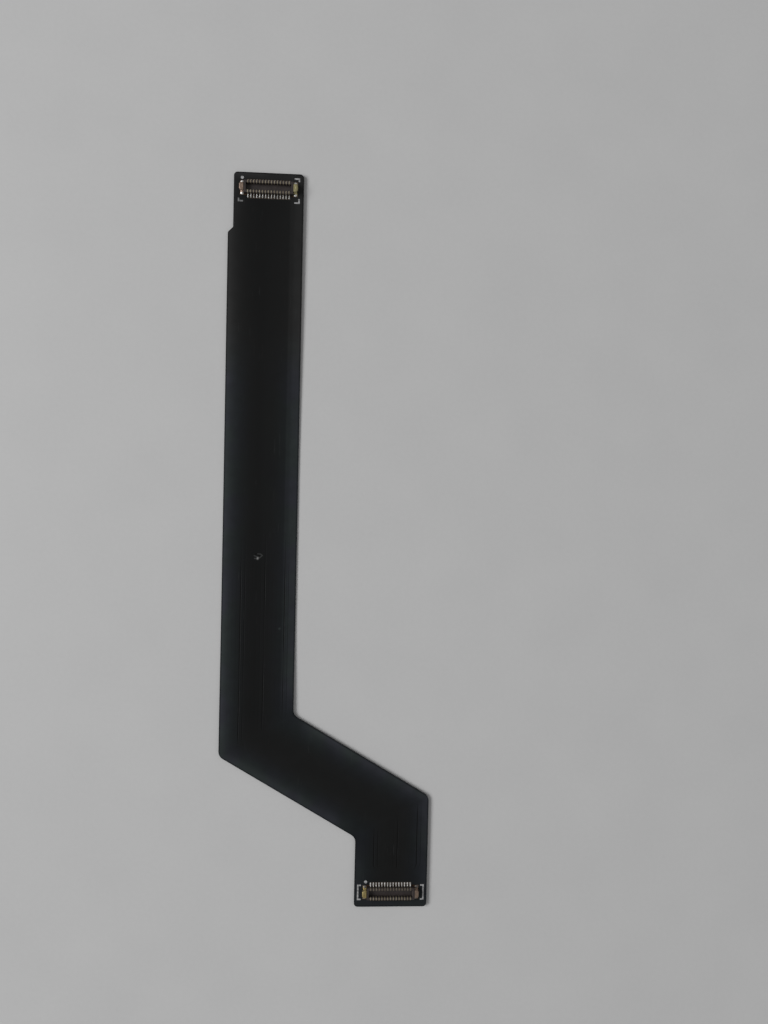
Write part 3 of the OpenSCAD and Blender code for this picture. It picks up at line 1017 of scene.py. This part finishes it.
# %% The dent
dent_x, dent_y = run_x - 0.25 * MM, head_y - 52.8 * MM
hollow_painted_shade, crease_grey = (0.0004,) * 3, (0.07, 0.071, 0.071)
pale_spot_grey, speck_green = (0.19, 0.19, 0.188), (0.06, 0.075, 0.073)
at_dent = add_node(
    tree, "ShaderNodeMapping", Vector=at_point(tree), Scale=(MM_PER_M, MM_PER_M, 0),
    Location=(-dent_x / MM, -dent_y / MM, 0)).outputs["Vector"]
creases = [((0.04, 0.66), (0.4, 0.64)), ((0.4, 0.64), (0.66, 0.45)),
           ((0.66, 0.45), (0.28, 0.1)), ((-0.45, 0.4), (-0.06, 0.24)),
           ((-0.4, 0.02), (-0.05, 0.0))]
crease = strongest(tree, [stroke(tree, at_dent, start, end, 0.07) for start, end in creases])
pale_spot = stroke(tree, at_dent, (0, 0), (0.03, 0.1), 0.12)
speck = stroke(tree, at_dent, (3.17, -9.7), (3.22, -9.66), 0.13)
hollow = strongest(tree, [stroke(tree, at_dent, (-0.3, 0.6), (-0.15, 0.62), 0.09),
                          stroke(tree, at_dent, (0.16, 0.44), (0.3, 0.44), 0.08)])
# The hollows are painted nearly black, a painted shade.
film_colour = blend(tree, hollow, film_colour, hollow_painted_shade)
film_colour = blend(tree, times(tree, crease, 0.45), film_colour, crease_grey)
film_colour = blend(tree, pale_spot, film_colour, pale_spot_grey)
film_colour = blend(tree, times(tree, speck, 0.28), film_colour, speck_green)
print("the dent lies", round((head_y - dent_y) / MM, 1), "mm from the head's edge")

# %% [markdown]
# ## The surface of the cover film
#
# The masks that paint the marks also raise or sink them, so light and colour
# agree: ridges, creases and the spot stand up, and the rest goes down. The film
# is a little glossier where the painted glare lies.

# %% Cover film surface
feed(tree, shader.inputs["Base Color"], film_colour)
roughness = remap(tree, grit["Tone"], 0.3, 0.7, 0.44, 0.58)
feed(tree, shader.inputs["Roughness"], minus(tree, roughness, times(tree, painted_glare, 0.06)))
height = plus(tree, minus(tree, where["Ridge"], where["Groove"]), minus(tree, pale_spot, hollow),
              times(tree, grit["Height"], 0.15), times(tree, crease, 1.5),
              times(tree, scratch, -0.2))
raise_surface(tree, shader, height, 0.012 * MM, 0.8)
dress(cover_film, "top_cover_film", "bottom_cover_film")

# %% [markdown]
# ## Base film
#
# At the cut edge the amber base film shows as a hair-thin line between the two
# black cover films. In the windows round the plugs its glossy amber face lies
# bare.

# %% Base film
dark_amber, amber = (0.022, 0.01, 0.004), (0.04, 0.02, 0.007)
base_film, tree, shader = new_material("base_film", roughness=0.3)
haze = use_group(tree, grain, Fineness=1 / (0.15 * MM))
amber_tone = remap(tree, haze["Tone"], 0.3, 0.7)
feed(tree, shader.inputs["Base Color"], blend(tree, amber_tone, dark_amber, amber))
feed(tree, shader.inputs["Roughness"], remap(tree, haze["Tone"], 0.3, 0.7, 0.26, 0.4))
raise_surface(tree, shader, haze["Height"], 0.002 * MM, 0.4)
dress(base_film, "base_film")

# %% [markdown]
# ## Metal
#
# Copper, gold and solder differ in colour and gloss, and wear alike. One helper
# makes them all: it sets the tarnish to one metal's two colours, its gloss and
# the size of its patches, and hands the tree back for what only that metal has.
# The copper of the pads is tinned by the solder and stained at the rims.

# %% Copper


def plated(name, clean, dull, gloss, patch, metallic, *pieces):
    made, tree, shader = new_material(name, metallic=metallic)
    worn = use_group(
        tree, tarnish, Clean=(*clean, 1), Dull=(*dull, 1), Patch=1 / patch, Gloss=gloss)
    feed(tree, shader.inputs["Base Color"], worn["Color"])
    feed(tree, shader.inputs["Roughness"], worn["Roughness"])
    raise_surface(tree, shader, worn["Height"], 0.0015 * MM, 0.5)
    dress(made, *pieces)
    return tree, shader, worn


plated("copper", (0.2, 0.16, 0.13), (0.07, 0.05, 0.04), 0.35, 0.5 * MM, 1.0,
       "top_copper", "bottom_copper", "head_vias", "foot_vias")

# %% [markdown]
# ## A map of the plugs
#
# Wear in a plug depends on where a point lies: how far from the plug's long
# centre line, how far along it from the middle, and how high over the pads.
# The nearer plug counts, so one group serves both ends of the cable.

# %% Plug map
plug_map, given, result = new_group("plug_map", (), ("Across", "Along", "Height"))
place = add_node(plug_map, "ShaderNodeSeparateXYZ", Vector=at_point(plug_map))
head_at, foot_at = (plug_places[end].translation for end in ("head", "foot"))
from_plugs = [calc(plug_map, "ABSOLUTE", minus(plug_map, place.outputs["Y"], at.y))
              for at in (head_at, foot_at)]
across = calc(plug_map, "MINIMUM", *from_plugs)
feed(plug_map, result["Across"], times(plug_map, across, MM_PER_M))
plug_x = remap(plug_map, place.outputs["Y"], -1 * MM, 1 * MM, foot_at.x, head_at.x)
along = calc(plug_map, "ABSOLUTE", minus(plug_map, place.outputs["X"], plug_x))
feed(plug_map, result["Along"], times(plug_map, along, MM_PER_M))
over_pads = minus(plug_map, place.outputs["Z"], pad_z)
feed(plug_map, result["Height"], times(plug_map, over_pads, MM_PER_M))
cavity_wall, cavity_end = wall_in / MM, row_half * pitch / MM + 0.3
print("the plug map has", len(plug_map.nodes), "nodes")

# %% [markdown]
# ## Gold
#
# The contacts have a thin gold flash over nickel, so they are paler than solid
# gold. Thin flash is not a perfect mirror: part of the light is scattered, which
# a Metallic a little over one half gives. The legs inside the cavity are painted
# a pale, nearly white tone with almost no Metallic: painted light that lifts the
# cavity's shade. The foot's inner row has tarnished more than the others.

# %% Contacts
flash_metallic, painted_leg_light_metallic = 0.6, 0.05
painted_leg_light = (0.92, 0.84, 0.68)
for name, clean, dull, rows in (
        ("contact_gold", (0.3, 0.265, 0.195), (0.15, 0.12, 0.085), contact_rows[:3]),
        ("contact_tarnished", (0.19, 0.165, 0.125), (0.1, 0.08, 0.06), contact_rows[3:])):
    tree, shader, worn = plated(name, clean, dull, 0.34, 0.9 * MM, flash_metallic, *rows)
    across = use_group(tree, plug_map)["Across"]
    # Painted light: the legs inside the cavity are painted nearly white.
    legs_painted_light = remap(tree, across, cavity_wall - 0.01, cavity_wall - 0.04)
    feed(tree, shader.inputs["Base Color"], blend(tree, legs_painted_light, worn["Color"], painted_leg_light))
    metallic = remap(tree, legs_painted_light, 0.0, 1.0, flash_metallic, painted_leg_light_metallic)
    feed(tree, shader.inputs["Metallic"], metallic)

# %% [markdown]
# ## End fittings
#
# The four fittings are the same plating, painted in four tones as painted light
# and shade. The right fitting of the head and the left one of the foot are gold,
# the second one a deeper gold. The other two are painted brown. The legs below
# the crest are painted paler still, a painted light on their steep faces.

# %% Fittings
legs_top, leg_light_gain = 0.6, 2.3
# Each fitting's tones are painted light and shade on one plating.
fitting_metals = (
    ("fitting_gold", "head", "right", (0.29, 0.26, 0.135), (0.21, 0.18, 0.083), 0.38, 0.7),
    ("fitting_deep_gold", "foot", "left", (0.29, 0.235, 0.1), (0.21, 0.155, 0.055), 0.34, 0.7),
    ("fitting_pink", "head", "left", (0.23, 0.165, 0.125), (0.14, 0.095, 0.073), 0.42, 0.5),
    ("fitting_brown", "foot", "right", (0.19, 0.135, 0.1), (0.11, 0.075, 0.055), 0.42, 0.5))
for name, end, side, clean, dull, gloss, patch in fitting_metals:
    tree, shader, worn = plated(name, clean, dull, gloss, patch * MM, 0.55, fittings[end, side])
    # Painted light: the legs are painted paler than the plating.
    on_leg = remap(tree, use_group(tree, plug_map)["Height"], legs_top, legs_top - 0.1)
    leg_painted_light = [leg_light_gain * part for part in clean]
    feed(tree, shader.inputs["Base Color"], blend(tree, on_leg, worn["Color"], leg_painted_light))

# %% [markdown]
# ## Solder
#
# Solder has a bright grey skin, with dull patches where flux has dried on it.
# The foot's solder is frosted, so the light spreads over it, and it is painted
# paler than the head's, a painted light. The mounds on the fittings' tails,
# beyond the rows' ends, are near white at the head and dark brown at the foot.

# %% Solder
# The foot's solder colour is painted paler than the head's, a painted light.
bright, frosted_painted_light = (0.4, 0.4, 0.39), (0.5, 0.49, 0.475)
for name, clean, dull, gloss, metallic, mound_tone, rows in (
        ("solder", bright, (0.12, 0.12, 0.11), 0.3, 0.75, (0.8, 0.8, 0.79), solder_rows[:2]),
        ("solder_frosted", frosted_painted_light, (0.18, 0.175, 0.165), 0.36, 0.4, (0.12, 0.11, 0.1),
         solder_rows[2:])):
    tree, shader, worn = plated(name, clean, dull, gloss, 0.25 * MM, metallic, *rows)
    past_row = remap(tree, use_group(tree, plug_map)["Along"], cavity_end, cavity_end + 0.1)
    patchy = remap(tree, noise(tree, 0.3 * MM), 0.35, 0.6, 0.6, 1.0)
    on_mound = times(tree, past_row, patchy)
    feed(tree, shader.inputs["Base Color"], blend(tree, on_mound, worn["Color"], mound_tone))

# %% [markdown]
# ## Moulding and stiffener
#
# The plug's body is a dark plastic with short glass fibres, which gives a dull
# brown-black face with pale flecks. The walls inside the cavity, above its floor,
# are painted a paler brown: painted light that lifts the cavity's shade. The
# stiffener under each plug is a thin laminate. Its cut edge shows the layers of
# its cloth as fine stripes.

# %% Moulding
brown_black, brown = (0.017, 0.013, 0.0125), (0.028, 0.021, 0.02)
fleck_tone, cavity_light_tone = (0.07, 0.06, 0.055), (0.1, 0.084, 0.076)
soften = 0.02

moulding, tree, shader = new_material("moulding", roughness=0.5, specular=0.35)
fibre = use_group(tree, grain, Fineness=1 / (0.05 * MM))
fleck = noise(tree, 0.06 * MM, 1.0, place=stretched(tree, (0.35, 1, 1), 0.2))
fleck = remap(tree, fleck, 0.62, 0.7, 0.0, 0.3)
plastic = blend(tree, remap(tree, fibre["Tone"], 0.35, 0.65), brown_black, brown)
plastic = blend(tree, fleck, plastic, fleck_tone)
plug = use_group(tree, plug_map)
# Painted light: the cavity's walls are painted paler.
cavity_painted_light = times(
    tree, remap(tree, plug["Across"], cavity_wall + soften, cavity_wall - soften),
    remap(tree, plug["Along"], cavity_end + soften, cavity_end - soften),
    remap(tree, plug["Height"], 0.16, 0.24), remap(tree, fibre["Tone"], 0.35, 0.65, 0.6, 1.0))
feed(tree, shader.inputs["Base Color"], blend(tree, cavity_painted_light, plastic, cavity_light_tone))
feed(tree, shader.inputs["Roughness"], remap(tree, fibre["Tone"], 0.3, 0.7, 0.42, 0.6))
raise_surface(tree, shader, fibre["Height"], 0.004 * MM, 0.5)
dress(moulding, "head_housing", "foot_housing")

# %% Stiffener
resin, cloth = (0.007, 0.007, 0.0068), (0.02, 0.019, 0.016)
stiffener, tree, shader = new_material("stiffener", roughness=0.6, specular=0.3)
layers = add_node(tree, "ShaderNodeTexWave", {"bands_direction": "Z"}, Vector=at_point(tree),
                  Scale=1 / (0.12 * MM), Distortion=1.5)
dust = use_group(tree, grain, Fineness=1 / (0.08 * MM))
woven = times(tree, layers.outputs["Fac"], dust["Tone"])
feed(tree, shader.inputs["Base Color"], blend(tree, woven, resin, cloth))
feed(tree, shader.inputs["Roughness"], remap(tree, dust["Tone"], 0.3, 0.7, 0.5, 0.7))
raise_surface(tree, shader, dust["Height"], 0.004 * MM, 0.5)
dress(stiffener, "head_stiffener", "foot_stiffener")

# %% [markdown]
# ## Printed marks
#
# The marks are screen-printed in a pale grey ink. Such a print is never solid:
# the mesh leaves pinholes and the film's black shines through where the ink is
# thin. The ink's Alpha drops in those places, so the film itself shows. One
# corner of the head's frame has been rubbed nearly away.

# %% Ink
thin_ink, full_ink, rubbed_ink = (0.17, 0.17, 0.172), (0.34, 0.34, 0.343), (0.05, 0.05, 0.051)
rubbed_at = plug_places["head"] @ Vector((-4 * MM, -1.7 * MM, 0))

ink, tree, shader = new_material("ink", roughness=0.6, specular=0.3)
mesh_grain = use_group(tree, grain, Fineness=1 / (0.07 * MM))
cover = noise(tree, 0.35 * MM, 3.0)
tone = blend(tree, remap(tree, cover, 0.35, 0.65), thin_ink, full_ink)
off_spot = vector_calc(tree, "DISTANCE", at_point(tree), rubbed_at, "Value")
rubbed = remap(tree, off_spot, 1.4 * MM, 0.6 * MM, 0.0, 0.6)
feed(tree, shader.inputs["Base Color"], blend(tree, rubbed, tone, rubbed_ink))
feed(tree, shader.inputs["Roughness"], remap(tree, mesh_grain["Tone"], 0.3, 0.7, 0.5, 0.7))
pinholes = remap(tree, plus(tree, cover, mesh_grain["Tone"]), 0.7, 0.95, 0.35, 1.0)
feed(tree, shader.inputs["Alpha"], pinholes)
raise_surface(tree, shader, mesh_grain["Height"], 0.004 * MM, 0.4)
dress(ink, "head_marks", "foot_marks")

# %% [markdown]
#
# The foot plug rides on the far end of the strip, with all its small pieces.

# %% [markdown]
# ## The size at the end
#
# The new pieces should fill the frame's box and not grow past it. How much the
# new box differs from the frame's is printed.

# %% Sizes and the end
new_low, new_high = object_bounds()
growth = (new_high - new_low) - (cad_high - cad_low)
print("grown by", [round(side / MM, 3) for side in growth], "mm")
